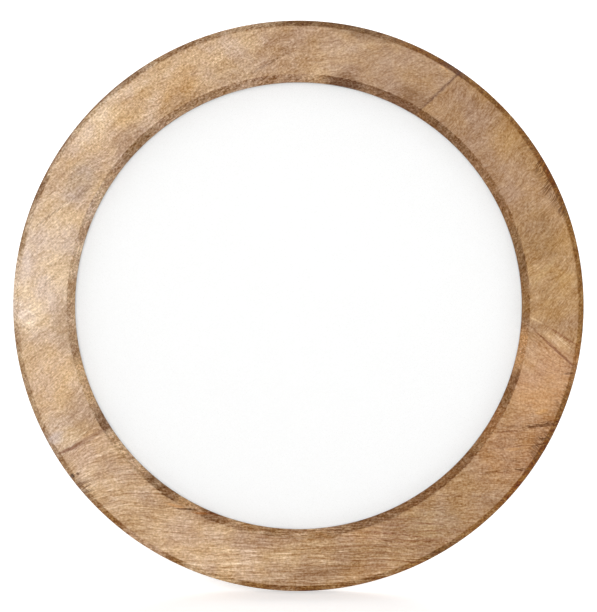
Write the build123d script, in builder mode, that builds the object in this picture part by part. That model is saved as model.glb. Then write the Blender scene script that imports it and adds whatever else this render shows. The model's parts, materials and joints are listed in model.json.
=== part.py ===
from build123d import *

import os
from math import cos, radians, sin, tan

os.makedirs("parts", exist_ok=True)

# Round wooden photo frame, standing on a table on its strut. The front faces -Y and
# leans back. Sizes are in millimetres and angles in degrees.

# Standing pose
lean_angle = 15.0
open_angle = 24.0

# Wooden ring, cut from a panel of two boards with one straight glue joint
frame_diameter = 250.0
ring_width = 27.1
ring_thickness = 20.0
outer_chamfer = 2.3
inner_chamfer = 3.8
back_chamfer = 0.8
joint_slope = 44.0
joint_offset = 24.5

# Picture stack in the rebate
rebate_lip = 6.5
glass_thickness = 2.0
glass_seam = 0.3
insert_thickness = 0.4
filler_thickness = 1.5
backing_thickness = 3.0
rebate_clearance = 0.5
finger_notch_radius = 8.0

# Turn buttons that hold the back in, and their screws
button_angles = {"upper_right": 45, "upper_left": 135, "lower_left": 225, "lower_right": 315}
button_pivot_radius = 5.0
button_tip_radius = 3.2
button_reach = 17.0
button_thickness = 1.0
button_edge_radius = 0.3
button_clearance = 0.1
screw_diameter = 3.0
screw_length = 12.0
screw_tip_length = 3.0
screw_tip_diameter = 0.6
screw_head_diameter = 6.4
screw_head_height = 2.0
screw_head_round = 1.3
screw_recess_length = 3.6
screw_recess_width = 0.8
screw_recess_depth = 1.2

# Strut and its hinge
hinge_rise = 35.0
strut_thickness = 3.0
strut_top_width = 32.0
strut_foot_width = 56.0
strut_corner_radius = 4.0
strut_clearance = 0.6
leaf_thickness = 0.8
leaf_width = 26.0
leaf_corner_radius = 3.0
back_leaf_height = 22.0
strut_leaf_height = 26.0
knuckle_length = 10.0
knuckle_gap = 0.3
barrel_clearance = 0.3
stop_clearance = 0.05
pin_head_height = 0.6
pin_head_overhang = 0.5
rivet_diameter = 3.0
rivet_head_diameter = 5.2
rivet_head_height = 1.0
rivet_head_round = 0.7
rivet_flare = 0.8
rivet_edge = 6.0
rivet_spacing = 13.0

# Sawtooth wall hanger, its nails and the felt pads
hanger_length = 45.0
hanger_height = 10.0
hanger_sheet = 0.8
hanger_standoff = 2.4
hanger_raised_length = 20.0
hanger_ramp = 3.0
tooth_pitch = 2.2
tooth_depth = 1.5
tooth_count = 7
nail_diameter = 1.6
nail_length = 11.0
nail_head_diameter = 4.0
nail_head_height = 0.9
nail_head_round = 0.5
nail_inset = 4.5
pad_angles = (240, 300)
pad_diameter = 12.0
pad_thickness = 2.0

# Fits: round shanks in their holes, and parts that turn on a pin or a screw
fixing_clearance = 0.05
running_clearance = 0.05

# Ring and rebate
ring_radius = frame_diameter / 2
sight_radius = ring_radius - ring_width
rebate_radius = sight_radius + rebate_lip
rebate_depth = glass_thickness + insert_thickness + filler_thickness + backing_thickness
disc_radius = rebate_radius - rebate_clearance
band_radius = (rebate_radius + ring_radius) / 2

# Hinge barrel: it fills the height from the back to the strut leaf's outer face
knuckle_radius = (strut_clearance + strut_thickness + leaf_thickness - barrel_clearance) / 2
bore_radius = knuckle_radius - leaf_thickness
pin_radius = bore_radius - running_clearance
pin_standoff = knuckle_radius + barrel_clearance

# Side view on the table: the ring rests on its lower back edge, the strut on its foot,
# and the origin is below the middle of the depth
lean = radians(lean_angle)
opening = radians(open_angle)
strut_tilt = opening - lean
centre_height = ring_radius * cos(lean) - back_chamfer * sin(lean)
pin_height = centre_height + hinge_rise * cos(lean) - pin_standoff * sin(lean)
pin_setback = hinge_rise * sin(lean) + pin_standoff * cos(lean)
foot_setback = pin_setback + pin_height * tan(strut_tilt) + bore_radius / cos(strut_tilt)
front_reach = (ring_radius - outer_chamfer) * sin(lean) + ring_thickness * cos(lean)
centre_y = (front_reach - foot_setback) / 2


def leaning_plane(origin, angle):
    """Plane leaning back by an angle: x to the right, y up the face, z to the viewer."""
    return Plane(origin=origin, x_dir=(1, 0, 0), z_dir=(0, -cos(angle), sin(angle)))


def band_point(angle):
    """Point in the middle of the ring's flat back, at an angle counted from the right."""
    return (band_radius * cos(radians(angle)), band_radius * sin(radians(angle)))


def save(part, name):
    """Label a finished piece and write it to its own file."""
    part.label = name
    export_step(part, f"parts/{name}.step")


# The frame plane is the ring's back face, with its origin at the ring's centre
frame_plane = leaning_plane((0, centre_y, centre_height), lean)
frame_axis = Axis(frame_plane.origin, frame_plane.z_dir)
pin_centre = frame_plane.from_local_coords((0, hinge_rise, -pin_standoff))
strut_plane = leaning_plane(pin_centre, -strut_tilt)
barrel_plane = Plane(origin=pin_centre, x_dir=frame_plane.y_dir, z_dir=(1, 0, 0))

button_points = [band_point(angle) for angle in button_angles.values()]
screw_seat = button_clearance + button_thickness + running_clearance
nail_x = hanger_length / 2 - nail_inset
nail_points = [(-nail_x, band_radius), (nail_x, band_radius)]

# Wooden ring: chamfered front edges, rebate behind, pilot holes in the back
ring_profile = Plane(frame_plane.origin, x_dir=frame_plane.x_dir, z_dir=-frame_plane.y_dir)
with BuildPart() as ring:
    with BuildSketch(ring_profile):
        with BuildLine():
            Polyline(
                (sight_radius, rebate_depth),
                (sight_radius, ring_thickness - inner_chamfer),
                (sight_radius + inner_chamfer, ring_thickness),
                (ring_radius - outer_chamfer, ring_thickness),
                (ring_radius, ring_thickness - outer_chamfer),
                (ring_radius, back_chamfer),
                (ring_radius - back_chamfer, 0),
                (rebate_radius, 0),
                (rebate_radius, rebate_depth),
                close=True,
            )
        make_face()
    revolve(axis=frame_axis)
    with BuildSketch(frame_plane):
        with Locations(*button_points):
            Circle(screw_diameter / 2 + fixing_clearance)
    extrude(amount=screw_length - screw_seat + fixing_clearance, mode=Mode.SUBTRACT)
    with BuildSketch(frame_plane):
        with Locations(*nail_points):
            Circle(nail_diameter / 2 + fixing_clearance)
    extrude(amount=nail_length - hanger_sheet + fixing_clearance, mode=Mode.SUBTRACT)

# The glue joint is a straight cut across the ring, above and left of the centre
slope = radians(joint_slope)
joint_normal = frame_plane.y_dir * cos(slope) - frame_plane.x_dir * sin(slope)
joint_plane = Plane(
    origin=frame_plane.origin + joint_normal * joint_offset,
    x_dir=frame_plane.z_dir,
    z_dir=joint_normal,
)
for name, side in (("ring_board_upper", Keep.TOP), ("ring_board_lower", Keep.BOTTOM)):
    with BuildPart() as ring_board:
        add(ring.part)
        split(bisect_by=joint_plane, keep=side)
    save(ring_board.part, name)

# Glass with seamed edges, against the shoulder of the rebate
with BuildPart() as glass_pane:
    with BuildSketch(frame_plane.offset(rebate_depth)):
        Circle(disc_radius)
    extrude(amount=-glass_thickness)
    chamfer(glass_pane.edges().filter_by(GeomType.CIRCLE), glass_seam)
save(glass_pane.part, "glass_pane")

# Blank insert card behind the glass
with BuildPart() as insert_card:
    with BuildSketch(frame_plane.offset(rebate_depth - glass_thickness)):
        Circle(disc_radius)
    extrude(amount=-insert_thickness)
save(insert_card.part, "insert_card")

# Filler card between the insert and the back
with BuildPart() as filler_card:
    with BuildSketch(frame_plane.offset(backing_thickness)):
        Circle(disc_radius)
    extrude(amount=filler_thickness)
save(filler_card.part, "filler_card")

# Backing board, flush with the ring's back, with a finger notch at its lower edge
# and countersunk rivet holes under the hinge
back_rivet_rise = hinge_rise + back_leaf_height - rivet_edge
back_rivet_points = [(-rivet_spacing / 2, back_rivet_rise), (rivet_spacing / 2, back_rivet_rise)]
rivet_hole_radius = rivet_diameter / 2 + fixing_clearance
with BuildPart(frame_plane.offset(backing_thickness)) as backing_board:
    with BuildSketch(frame_plane):
        Circle(disc_radius)
        with Locations((0, -disc_radius)):
            Circle(finger_notch_radius, mode=Mode.SUBTRACT)
    extrude(amount=backing_thickness)
    with Locations(*back_rivet_points):
        CounterSinkHole(rivet_hole_radius, rivet_hole_radius + rivet_flare, counter_sink_angle=90)
save(backing_board.part, "backing_board")

# Turn buttons: tapered pressed tabs that reach over the back and swivel on their screws
for corner, angle in button_angles.items():
    pivot = frame_plane.from_local_coords((*band_point(angle), -button_clearance))
    inward = frame_plane.x_dir * -cos(radians(angle)) - frame_plane.y_dir * sin(radians(angle))
    button_plane = Plane(pivot, x_dir=inward, z_dir=frame_plane.z_dir)
    with BuildPart() as turn_button:
        with BuildSketch(button_plane):
            Circle(button_pivot_radius)
            with Locations((button_reach, 0)):
                Circle(button_tip_radius)
            make_hull()
            Circle(screw_diameter / 2 + running_clearance, mode=Mode.SUBTRACT)
        extrude(amount=-button_thickness)
        rear_face = turn_button.faces().sort_by(frame_axis)[0]
        fillet(rear_face.outer_wire().edges(), button_edge_radius)
    save(turn_button.part, f"turn_button_{corner}")

# Pan head screws of the turn buttons, with a cross recess
with BuildPart(frame_plane.offset(-screw_seat)) as turn_button_screws:
    with Locations(*button_points):
        Cylinder(
            screw_head_diameter / 2,
            screw_head_height,
            align=(Align.CENTER, Align.CENTER, Align.MAX),
        )
        Cylinder(
            screw_diameter / 2,
            screw_length - screw_tip_length,
            align=(Align.CENTER, Align.CENTER, Align.MIN),
        )
    with Locations(*[(x, y, screw_length) for x, y in button_points]):
        Cone(
            screw_diameter / 2,
            screw_tip_diameter / 2,
            screw_tip_length,
            align=(Align.CENTER, Align.CENTER, Align.MAX),
        )
    fillet(turn_button_screws.edges().group_by(frame_axis, tol_digits=3)[0], screw_head_round)
    with Locations(*[(x, y, -screw_head_height) for x, y in button_points]):
        Box(screw_recess_length, screw_recess_width, 2 * screw_recess_depth, mode=Mode.SUBTRACT)
        Box(screw_recess_width, screw_recess_length, 2 * screw_recess_depth, mode=Mode.SUBTRACT)
save(turn_button_screws.part, "turn_button_screws")

# Strut: a tapered leg, cut level at the foot, with countersunk holes for the leaf's rivets
strut_rear = leaf_thickness - knuckle_radius
strut_front = strut_rear + strut_thickness
strut_top = -(knuckle_radius + barrel_clearance)
strut_reach = pin_height / cos(strut_tilt) + strut_thickness
strut_rivet_points = [
    (-rivet_spacing / 2, strut_top - rivet_edge),
    (rivet_spacing / 2, strut_top - rivet_edge),
    (0, strut_top - strut_leaf_height + rivet_edge),
]
with BuildPart(strut_plane.offset(strut_front)) as strut:
    with BuildSketch(strut_plane.offset(strut_rear)):
        with BuildLine():
            Polyline(
                (-strut_top_width / 2, strut_top),
                (strut_top_width / 2, strut_top),
                (strut_foot_width / 2, -strut_reach),
                (-strut_foot_width / 2, -strut_reach),
                close=True,
            )
        make_face()
        fillet(vertices().group_by(Axis.Y)[-1], strut_corner_radius)
    extrude(amount=strut_thickness)
    split(bisect_by=Plane.XY, keep=Keep.TOP)
    foot_corners = strut.edges().group_by(Axis.Z, tol_digits=3)[0].sort_by(SortBy.LENGTH)[:2]
    fillet(foot_corners, strut_corner_radius)
    with Locations(*strut_rivet_points):
        CounterSinkHole(rivet_hole_radius, rivet_hole_radius + rivet_flare, counter_sink_angle=90)
save(strut.part, "strut")

# Hinge leaf on the back, with a knuckle at each side of the barrel
fixed_knuckle_start = knuckle_length / 2 + knuckle_gap
with BuildPart(frame_plane) as hinge_back_leaf:
    with BuildSketch(frame_plane):
        with Locations((0, hinge_rise)):
            Rectangle(leaf_width, back_leaf_height, align=(Align.CENTER, Align.MIN))
        fillet(vertices().group_by(Axis.Y)[-1], leaf_corner_radius)
        with Locations((0, hinge_rise)):
            Rectangle(2 * fixed_knuckle_start, -2 * strut_top, mode=Mode.SUBTRACT)
    extrude(amount=-leaf_thickness)
    for side in (-1, 1):
        with BuildSketch(barrel_plane.offset(side * fixed_knuckle_start)):
            Circle(knuckle_radius)
        extrude(amount=side * (leaf_width / 2 - fixed_knuckle_start))
    with BuildSketch(barrel_plane):
        Circle(bore_radius)
    extrude(amount=leaf_width, both=True, mode=Mode.SUBTRACT)
    with Locations(*back_rivet_points):
        Hole(rivet_hole_radius)
save(hinge_back_leaf.part, "hinge_back_leaf")

# Hinge leaf on the strut, with the middle knuckle and a tongue above it that meets
# the other leaf when the strut is fully open
stop_gap = pin_standoff - leaf_thickness - stop_clearance
stop_reach = (stop_gap + bore_radius * cos(opening)) / sin(opening)
with BuildPart(strut_plane) as hinge_strut_leaf:
    with BuildSketch(strut_plane.offset(-knuckle_radius)):
        with Locations((0, strut_top)):
            Rectangle(leaf_width, strut_leaf_height, align=(Align.CENTER, Align.MAX))
        fillet(vertices().group_by(Axis.Y)[0], leaf_corner_radius)
        with Locations((0, strut_top)):
            Rectangle(knuckle_length, stop_reach - strut_top, align=(Align.CENTER, Align.MIN))
    extrude(amount=leaf_thickness)
    with BuildSketch(barrel_plane):
        Circle(knuckle_radius)
    extrude(amount=knuckle_length / 2, both=True)
    with BuildSketch(barrel_plane):
        Circle(bore_radius)
    extrude(amount=leaf_width, both=True, mode=Mode.SUBTRACT)
    with Locations(*strut_rivet_points):
        Hole(rivet_hole_radius)
save(hinge_strut_leaf.part, "hinge_strut_leaf")

# Hinge pin with peened heads
with BuildPart() as hinge_pin:
    with BuildSketch(barrel_plane):
        Circle(pin_radius)
    extrude(amount=leaf_width / 2, both=True)
    for side in (-1, 1):
        with BuildSketch(barrel_plane.offset(side * leaf_width / 2)):
            Circle(pin_radius + pin_head_overhang)
        extrude(amount=side * pin_head_height)
    end_edges = hinge_pin.edges().group_by(Axis.X, tol_digits=3)
    fillet(end_edges[0] + end_edges[-1], pin_head_overhang)
save(hinge_pin.part, "hinge_pin")


def clinched_rivets(seat, points, grip):
    """Round head rivets on a seat plane, flared flush at the far side of what they grip."""
    with BuildPart(seat) as rivets:
        with Locations(*points):
            Cylinder(
                rivet_head_diameter / 2,
                rivet_head_height,
                align=(Align.CENTER, Align.CENTER, Align.MAX),
            )
            Cylinder(rivet_diameter / 2, grip, align=(Align.CENTER, Align.CENTER, Align.MIN))
        with Locations(*[(x, y, grip) for x, y in points]):
            Cone(
                rivet_diameter / 2,
                rivet_diameter / 2 + rivet_flare,
                rivet_flare,
                align=(Align.CENTER, Align.CENTER, Align.MAX),
            )
        head_edges = rivets.edges().group_by(Axis(seat.origin, seat.z_dir), tol_digits=3)[0]
        fillet(head_edges, rivet_head_round)
    return rivets.part


save(
    clinched_rivets(
        frame_plane.offset(-leaf_thickness),
        back_rivet_points,
        leaf_thickness + backing_thickness,
    ),
    "back_leaf_rivets",
)
save(
    clinched_rivets(
        strut_plane.offset(-knuckle_radius),
        strut_rivet_points,
        leaf_thickness + strut_thickness,
    ),
    "strut_leaf_rivets",
)

# Sawtooth hanger: a strip with its middle raised off the ring, toothed along its lower edge
hanger_bottom = band_radius - hanger_height / 2
hanger_profile = Plane(
    frame_plane.from_local_coords((0, hanger_bottom, 0)),
    x_dir=frame_plane.x_dir,
    z_dir=frame_plane.y_dir,
)
raised_end = hanger_raised_length / 2
ramp_end = raised_end + hanger_ramp
hanger_top = hanger_standoff + hanger_sheet
with BuildPart(frame_plane) as wall_hanger:
    with BuildSketch(hanger_profile):
        with BuildLine():
            Polyline(
                (0, hanger_standoff),
                (raised_end, hanger_standoff),
                (ramp_end, 0),
                (hanger_length / 2, 0),
                (hanger_length / 2, hanger_sheet),
                (ramp_end + hanger_sheet / 2, hanger_sheet),
                (raised_end + hanger_sheet / 2, hanger_top),
                (0, hanger_top),
                close=True,
            )
        make_face()
        mirror(about=Plane.YZ)
    extrude(amount=hanger_height)
    with BuildSketch(frame_plane.offset(-hanger_standoff / 2)):
        with Locations((0, hanger_bottom)):
            with GridLocations(tooth_pitch, 1, tooth_count, 1):
                Triangle(a=tooth_pitch, b=tooth_pitch, c=tooth_pitch)
    extrude(amount=-hanger_top, mode=Mode.SUBTRACT)
    with Locations(*nail_points):
        Hole(nail_diameter / 2 + fixing_clearance)
save(wall_hanger.part, "wall_hanger")

# Round head nails of the hanger
with BuildPart(frame_plane.offset(-hanger_sheet)) as hanger_nails:
    with Locations(*nail_points):
        Cylinder(
            nail_head_diameter / 2,
            nail_head_height,
            align=(Align.CENTER, Align.CENTER, Align.MAX),
        )
        Cylinder(nail_diameter / 2, nail_length, align=(Align.CENTER, Align.CENTER, Align.MIN))
    fillet(hanger_nails.edges().group_by(frame_axis, tol_digits=3)[0], nail_head_round)
save(hanger_nails.part, "hanger_nails")

# Felt pads low on the ring's back
with BuildPart() as felt_pads:
    with BuildSketch(frame_plane):
        with Locations(*[band_point(angle) for angle in pad_angles]):
            Circle(pad_diameter / 2)
    extrude(amount=-pad_thickness)
save(felt_pads.part, "felt_pads")
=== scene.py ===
import json
import math

import bmesh
import bpy
from mathutils import Matrix, Vector


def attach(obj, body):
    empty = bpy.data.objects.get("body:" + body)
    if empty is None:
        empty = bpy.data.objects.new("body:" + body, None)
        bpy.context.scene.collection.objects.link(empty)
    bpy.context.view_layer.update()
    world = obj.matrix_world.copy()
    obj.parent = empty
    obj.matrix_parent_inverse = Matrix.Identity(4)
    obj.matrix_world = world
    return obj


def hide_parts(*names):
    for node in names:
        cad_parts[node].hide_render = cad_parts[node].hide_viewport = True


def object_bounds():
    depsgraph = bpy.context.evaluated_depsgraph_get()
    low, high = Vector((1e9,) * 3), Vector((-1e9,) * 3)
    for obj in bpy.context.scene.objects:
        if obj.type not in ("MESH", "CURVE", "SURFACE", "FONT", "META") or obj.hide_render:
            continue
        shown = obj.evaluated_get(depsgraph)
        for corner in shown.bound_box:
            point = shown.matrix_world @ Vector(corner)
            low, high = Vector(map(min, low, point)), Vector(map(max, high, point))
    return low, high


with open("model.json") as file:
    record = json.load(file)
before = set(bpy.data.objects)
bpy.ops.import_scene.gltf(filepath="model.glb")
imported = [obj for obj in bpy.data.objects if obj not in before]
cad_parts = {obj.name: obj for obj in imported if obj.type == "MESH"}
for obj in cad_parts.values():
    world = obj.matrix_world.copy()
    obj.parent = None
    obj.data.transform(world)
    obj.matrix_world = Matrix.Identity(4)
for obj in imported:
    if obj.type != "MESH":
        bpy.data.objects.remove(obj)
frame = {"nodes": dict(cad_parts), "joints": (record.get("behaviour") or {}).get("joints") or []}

cad_low, cad_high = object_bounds()

# Ring blank: one round of solid wood, turned from a panel of two boards glued edge to edge.
# Both front edges are chamfered, the inner edge of the back is stepped for the glass,
# and every arris is sanded.
swivels = [joint for joint in frame["joints"] if joint["name"].endswith("_button_swivel")]
ring_centre = sum((Vector(joint["pos_m"]) for joint in swivels), Vector()) / len(swivels)
lean = math.radians(15)
ring_turn = math.pi / 2 - lean
ring_place = Matrix.Translation(ring_centre) @ Matrix.Rotation(ring_turn, 4, "X")
ring_radius = (cad_high.x - cad_low.x) / 2
ring_width = 0.0271
ring_thickness = 0.020
sight_radius = ring_radius - ring_width
rebate_lip = 0.0065
rebate_radius = sight_radius + rebate_lip
rebate_depth = 0.0069
outer_chamfer = 0.0023
inner_chamfer = 0.0038
back_chamfer = 0.0008
arris_round = 0.0004
arris_steps = 3
ring_steps = 360
touching = 1e-6
sharp_bend = math.radians(20)
profile = [
    (sight_radius, rebate_depth),
    (sight_radius, ring_thickness - inner_chamfer),
    (sight_radius + inner_chamfer, ring_thickness),
    (ring_radius - outer_chamfer, ring_thickness),
    (ring_radius, ring_thickness - outer_chamfer),
    (ring_radius, back_chamfer),
    (ring_radius - back_chamfer, 0),
    (rebate_radius, 0),
    (rebate_radius, rebate_depth),
]


def ease_edges(form, edges, offset, segments):
    """Round sharp edges off by a small size."""
    bmesh.ops.bevel(
        form,
        geom=edges,
        offset=offset,
        offset_type="OFFSET",
        segments=segments,
        profile=0.5,
        affect="EDGES",
        material=-1,
        clamp_overlap=True,
    )


ring = bmesh.new()
corners = [ring.verts.new((radius, 0, height)) for radius, height in profile]
sides = [ring.edges.new((corners[at - 1], corners[at])) for at in range(len(corners))]
bmesh.ops.spin(
    ring,
    geom=corners + sides,
    cent=(0, 0, 0),
    axis=(0, 0, 1),
    angle=2 * math.pi,
    steps=ring_steps,
    use_merge=True,
)
bmesh.ops.remove_doubles(ring, verts=ring.verts, dist=touching)
bmesh.ops.recalc_face_normals(ring, faces=ring.faces)
arrises = [edge for edge in ring.edges if edge.calc_face_angle(0) > sharp_bend and edge.is_convex]
ease_edges(ring, arrises, arris_round, arris_steps)
bmesh.ops.transform(ring, matrix=ring_place, verts=ring.verts)

# Glue joint: the straight line right across the ring, along which its two boards meet.
# Each board is sawn off there, and the edges of its ends are eased by a hair.
joint_slope = math.radians(44)
joint_offset = 0.0245
joint_ease = 0.00012
joint_normal = ring_place.to_3x3() @ Vector((-math.sin(joint_slope), math.cos(joint_slope), 0))
joint_point = ring_centre + joint_normal * joint_offset
crease = math.radians(35)


def new_piece(name, form):
    """An object in the scene, made from a finished form."""
    mesh = bpy.data.meshes.new(name)
    form.to_mesh(mesh)
    form.free()
    piece = bpy.data.objects.new(name, mesh)
    bpy.context.collection.objects.link(piece)
    return piece


def saw_board(name, side):
    """The part of the ring on one side of the glue joint."""
    board = ring.copy()
    into = joint_normal * side
    cut = bmesh.ops.bisect_plane(
        board,
        geom=board.verts[:] + board.edges[:] + board.faces[:],
        plane_co=joint_point + into * joint_ease,
        plane_no=-into,
        clear_outer=True,
    )["geom_cut"]
    rims = [part for part in cut if isinstance(part, bmesh.types.BMEdge)]
    ends = bmesh.ops.edgeloop_fill(board, edges=rims)["faces"]
    bmesh.ops.inset_region(board, faces=ends, thickness=joint_ease, use_even_offset=True)
    end_corners = list({corner for end in ends for corner in end.verts})
    bmesh.ops.translate(board, verts=end_corners, vec=-into * joint_ease)
    bmesh.ops.recalc_face_normals(board, faces=board.faces)
    piece = new_piece(name, board)
    piece.data.shade_smooth()
    piece.data.set_sharp_from_angle(angle=crease)
    piece.modifiers.new("flat_faces", "WEIGHTED_NORMAL").keep_sharp = True
    return piece


# Wood figure: the streaks, mottle, short strokes, speckle, pores and growth lines that the tree
# leaves in both boards, by the place along, across and through the grain in millimetres.
streak_size = (14, 0.55, 3)
mottle_size = (12, 3.2, 6)
stroke_size = (2.4, 0.55, 1.2)
pore_size = (2.6, 0.16, 0.8)
growth_sway_size = (60, 9, 20)
growth_sway = 1.6
growth_gap = 3.2


def plug(tree, value, socket):
    """Feed a socket from another one, or set it to a plain value."""
    if isinstance(value, bpy.types.NodeSocket):
        tree.links.new(value, socket)
    else:
        socket.default_value = value


def calc(tree, operation, *terms):
    """One sum on values."""
    node = tree.nodes.new("ShaderNodeMath")
    node.operation = operation
    for term, socket in zip(terms, node.inputs):
        plug(tree, term, socket)
    return node.outputs[0]


def rise(tree, value, start, end, low=0.0, high=1.0):
    """A soft step from low to high while the value goes from start to end."""
    node = tree.nodes.new("ShaderNodeMapRange")
    node.interpolation_type = "SMOOTHSTEP"
    for term, socket in zip((value, start, end, low, high), node.inputs):
        plug(tree, term, socket)
    return node.outputs[0]


def spot(tree, x, y, z):
    """A point put together from three values."""
    node = tree.nodes.new("ShaderNodeCombineXYZ")
    for term, socket in zip((x, y, z), node.inputs):
        plug(tree, term, socket)
    return node.outputs[0]


def noise(tree, point, scale, detail, rough):
    """Cloudy values round one half."""
    node = tree.nodes.new("ShaderNodeTexNoise")
    plug(tree, point, node.inputs["Vector"])
    node.inputs["Scale"].default_value = scale
    node.inputs["Detail"].default_value = detail
    node.inputs["Roughness"].default_value = rough
    return node.outputs[0]


def drawn_out(tree, place, lengths, detail, rough):
    """Noise stretched to a length in millimetres along, across and through the grain."""
    scaled = [calc(tree, "DIVIDE", term, length) for term, length in zip(place, lengths)]
    return noise(tree, spot(tree, *scaled), 1.0, detail, rough)


def new_group(name, takes, gives):
    """An empty node group with its named values in and out."""
    group = bpy.data.node_groups.new(name, "ShaderNodeTree")
    for label in takes:
        kind = "NodeSocketVector" if label in ("Point", "Place") else "NodeSocketFloat"
        group.interface.new_socket(label, in_out="INPUT", socket_type=kind)
    for label in gives:
        group.interface.new_socket(label, in_out="OUTPUT", socket_type="NodeSocketFloat")
    start = group.nodes.new("NodeGroupInput")
    end = group.nodes.new("NodeGroupOutput")
    return group, start.outputs, end.inputs


board_figure, given, made = new_group(
    "board_figure",
    ("Along", "Across", "Depth", "Point"),
    ("Streaks", "Mottle", "Strokes", "Speckle", "Pores", "Growth"),
)
grain_place = (given["Along"], given["Across"], given["Depth"])
plug(board_figure, drawn_out(board_figure, grain_place, streak_size, 2, 0.6), made["Streaks"])
plug(board_figure, drawn_out(board_figure, grain_place, mottle_size, 4, 0.6), made["Mottle"])
plug(board_figure, drawn_out(board_figure, grain_place, stroke_size, 2, 0.6), made["Strokes"])
plug(board_figure, noise(board_figure, given["Point"], 1.0, 2, 0.6), made["Speckle"])
pore_lines = drawn_out(board_figure, grain_place, pore_size, 1, 0.5)
plug(board_figure, rise(board_figure, pore_lines, 0.6, 0.7), made["Pores"])
sway = drawn_out(board_figure, grain_place, growth_sway_size, 2, 0.5)
years = calc(board_figure, "DIVIDE", given["Across"], growth_gap)
season = calc(board_figure, "FRACT", calc(board_figure, "MULTIPLY_ADD", sway, growth_sway, years))
plug(board_figure, rise(board_figure, season, 0.6, 1.0), made["Growth"])

# Soft marks: the paler, browner and scorched patches of both boards, and their thin lines of grain.
# Each is an oval with a faded edge, placed on the ring's face, in millimetres and degrees.
endless = 1e6
faded_share = 0.65
line_reach = 0.6


def blend(tree, share, first, second, mode="MIX"):
    """Two colours mixed, or one laid over the other in another mode."""
    node = tree.nodes.new("ShaderNodeMix")
    node.data_type = "RGBA"
    node.blend_type = mode
    for term, at in ((share, 0), (first, 6), (second, 7)):
        plug(tree, term, node.inputs[at])
    return node.outputs[2]


def use(tree, group, **values):
    """Place a group in a material with its own values."""
    node = tree.nodes.new("ShaderNodeGroup")
    node.node_tree = group
    for label, value in values.items():
        plug(tree, value, node.inputs[label.capitalize()])
    return node.outputs


soft_mark, given, made = new_group("soft_mark", ("Point", "Place", "Tilt", "Length", "Width"), ("Mask",))
oval = soft_mark.nodes.new("ShaderNodeMapping")
oval.vector_type = "TEXTURE"
plug(soft_mark, given["Point"], oval.inputs["Vector"])
plug(soft_mark, given["Place"], oval.inputs["Location"])
tilt = calc(soft_mark, "RADIANS", given["Tilt"])
plug(soft_mark, spot(soft_mark, 0, 0, tilt), oval.inputs["Rotation"])
plug(soft_mark, spot(soft_mark, given["Length"], given["Width"], endless), oval.inputs["Scale"])
fade = soft_mark.nodes.new("ShaderNodeTexGradient")
fade.gradient_type = "SPHERICAL"
plug(soft_mark, oval.outputs[0], fade.inputs["Vector"])
plug(soft_mark, rise(soft_mark, fade.outputs[1], 0.0, faded_share), made["Mask"])


def on_ring(angle, radius):
    """A place on the ring's face, by its angle from the right and its radius."""
    turn = math.radians(angle)
    return Vector((radius * math.cos(turn), radius * math.sin(turn), 0))


def zone(tree, point, angle, radius, tilt, length, width):
    """How far a point is inside an oval: its angle, radius, tilt, half length and half width."""
    place = on_ring(angle, radius)
    return use(tree, soft_mark, point=point, place=place, tilt=tilt, length=length, width=width)[0]


def lay_marks(tree, point, colour, marks, veil=1.0):
    """Soft ovals over a colour: angle, radius, tilt, half length, half width, tint and strength."""
    for angle, radius, tilt, length, width, tint, strength in marks:
        mask = zone(tree, point, angle, radius, tilt, length, width)
        share = calc(tree, "MULTIPLY", calc(tree, "MULTIPLY", mask, strength), veil)
        colour = blend(tree, share, colour, tint)
    return colour


def draw_lines(tree, point, colour, lines, veil):
    """Thin lines over a colour: angle and radius of both ends, half width, tint and strength."""
    marks = []
    for start_angle, start_radius, end_angle, end_radius, width, tint, strength in lines:
        start = on_ring(start_angle, start_radius)
        end = on_ring(end_angle, end_radius)
        middle = (start + end) / 2
        run = end - start
        angle = math.degrees(math.atan2(middle.y, middle.x))
        tilt = math.degrees(math.atan2(run.y, run.x))
        marks.append((angle, middle.length, tilt, run.length * line_reach, width, tint, strength))
    return lay_marks(tree, point, colour, marks, veil)


def swayed(tree, point, size, reach):
    """The point moved about by slow noise, so that marks get uneven outlines."""
    node = tree.nodes.new("ShaderNodeTexNoise")
    plug(tree, point, node.inputs["Vector"])
    node.inputs["Scale"].default_value = 1 / size
    node.inputs["Detail"].default_value = 3
    shift = tree.nodes.new("ShaderNodeVectorMath")
    shift.operation = "MULTIPLY_ADD"
    plug(tree, node.outputs[1], shift.inputs[0])
    shift.inputs[1].default_value = (reach, reach, reach)
    back = tree.nodes.new("ShaderNodeVectorMath")
    back.operation = "SUBTRACT"
    plug(tree, point, back.inputs[0])
    back.inputs[1].default_value = (reach / 2, reach / 2, reach / 2)
    plug(tree, back.outputs[0], shift.inputs[2])
    return shift.outputs[0]


# Turned edges: the chamfers cut across the fibres, so they take more oil and come out darker.
# The grain frays their outlines. The glue shows as a brown line across the face, plainest at
# the right end of the joint.
millimetre = 0.001
fray_reach = 0.8
outer_outline = (122.3, 123.0)
rim_outline = (123.8, 124.7)
inner_outline = (101.7, 101.3)
outer_band = 124
inner_band = 100
patch_width = 14
dark_fleck = (0.82, 0.79, 0.75, 1)
pale_fleck = (1.19, 1.2, 1.21, 1)


def split(tree, point):
    """The three values of a point."""
    node = tree.nodes.new("ShaderNodeSeparateXYZ")
    plug(tree, point, node.inputs[0])
    return node.outputs[0], node.outputs[1], node.outputs[2]


def from_axis(tree, x, up):
    """How far a place on the face is from the ring's axis."""
    return calc(tree, "SQRT", calc(tree, "MULTIPLY_ADD", x, x, calc(tree, "MULTIPLY", up, up)))


def towards(tree, x, up, angle):
    """How far a place on the face is from the ring's axis in one direction."""
    return calc(tree, "MULTIPLY_ADD", x, math.cos(angle), calc(tree, "MULTIPLY", up, math.sin(angle)))


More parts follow.
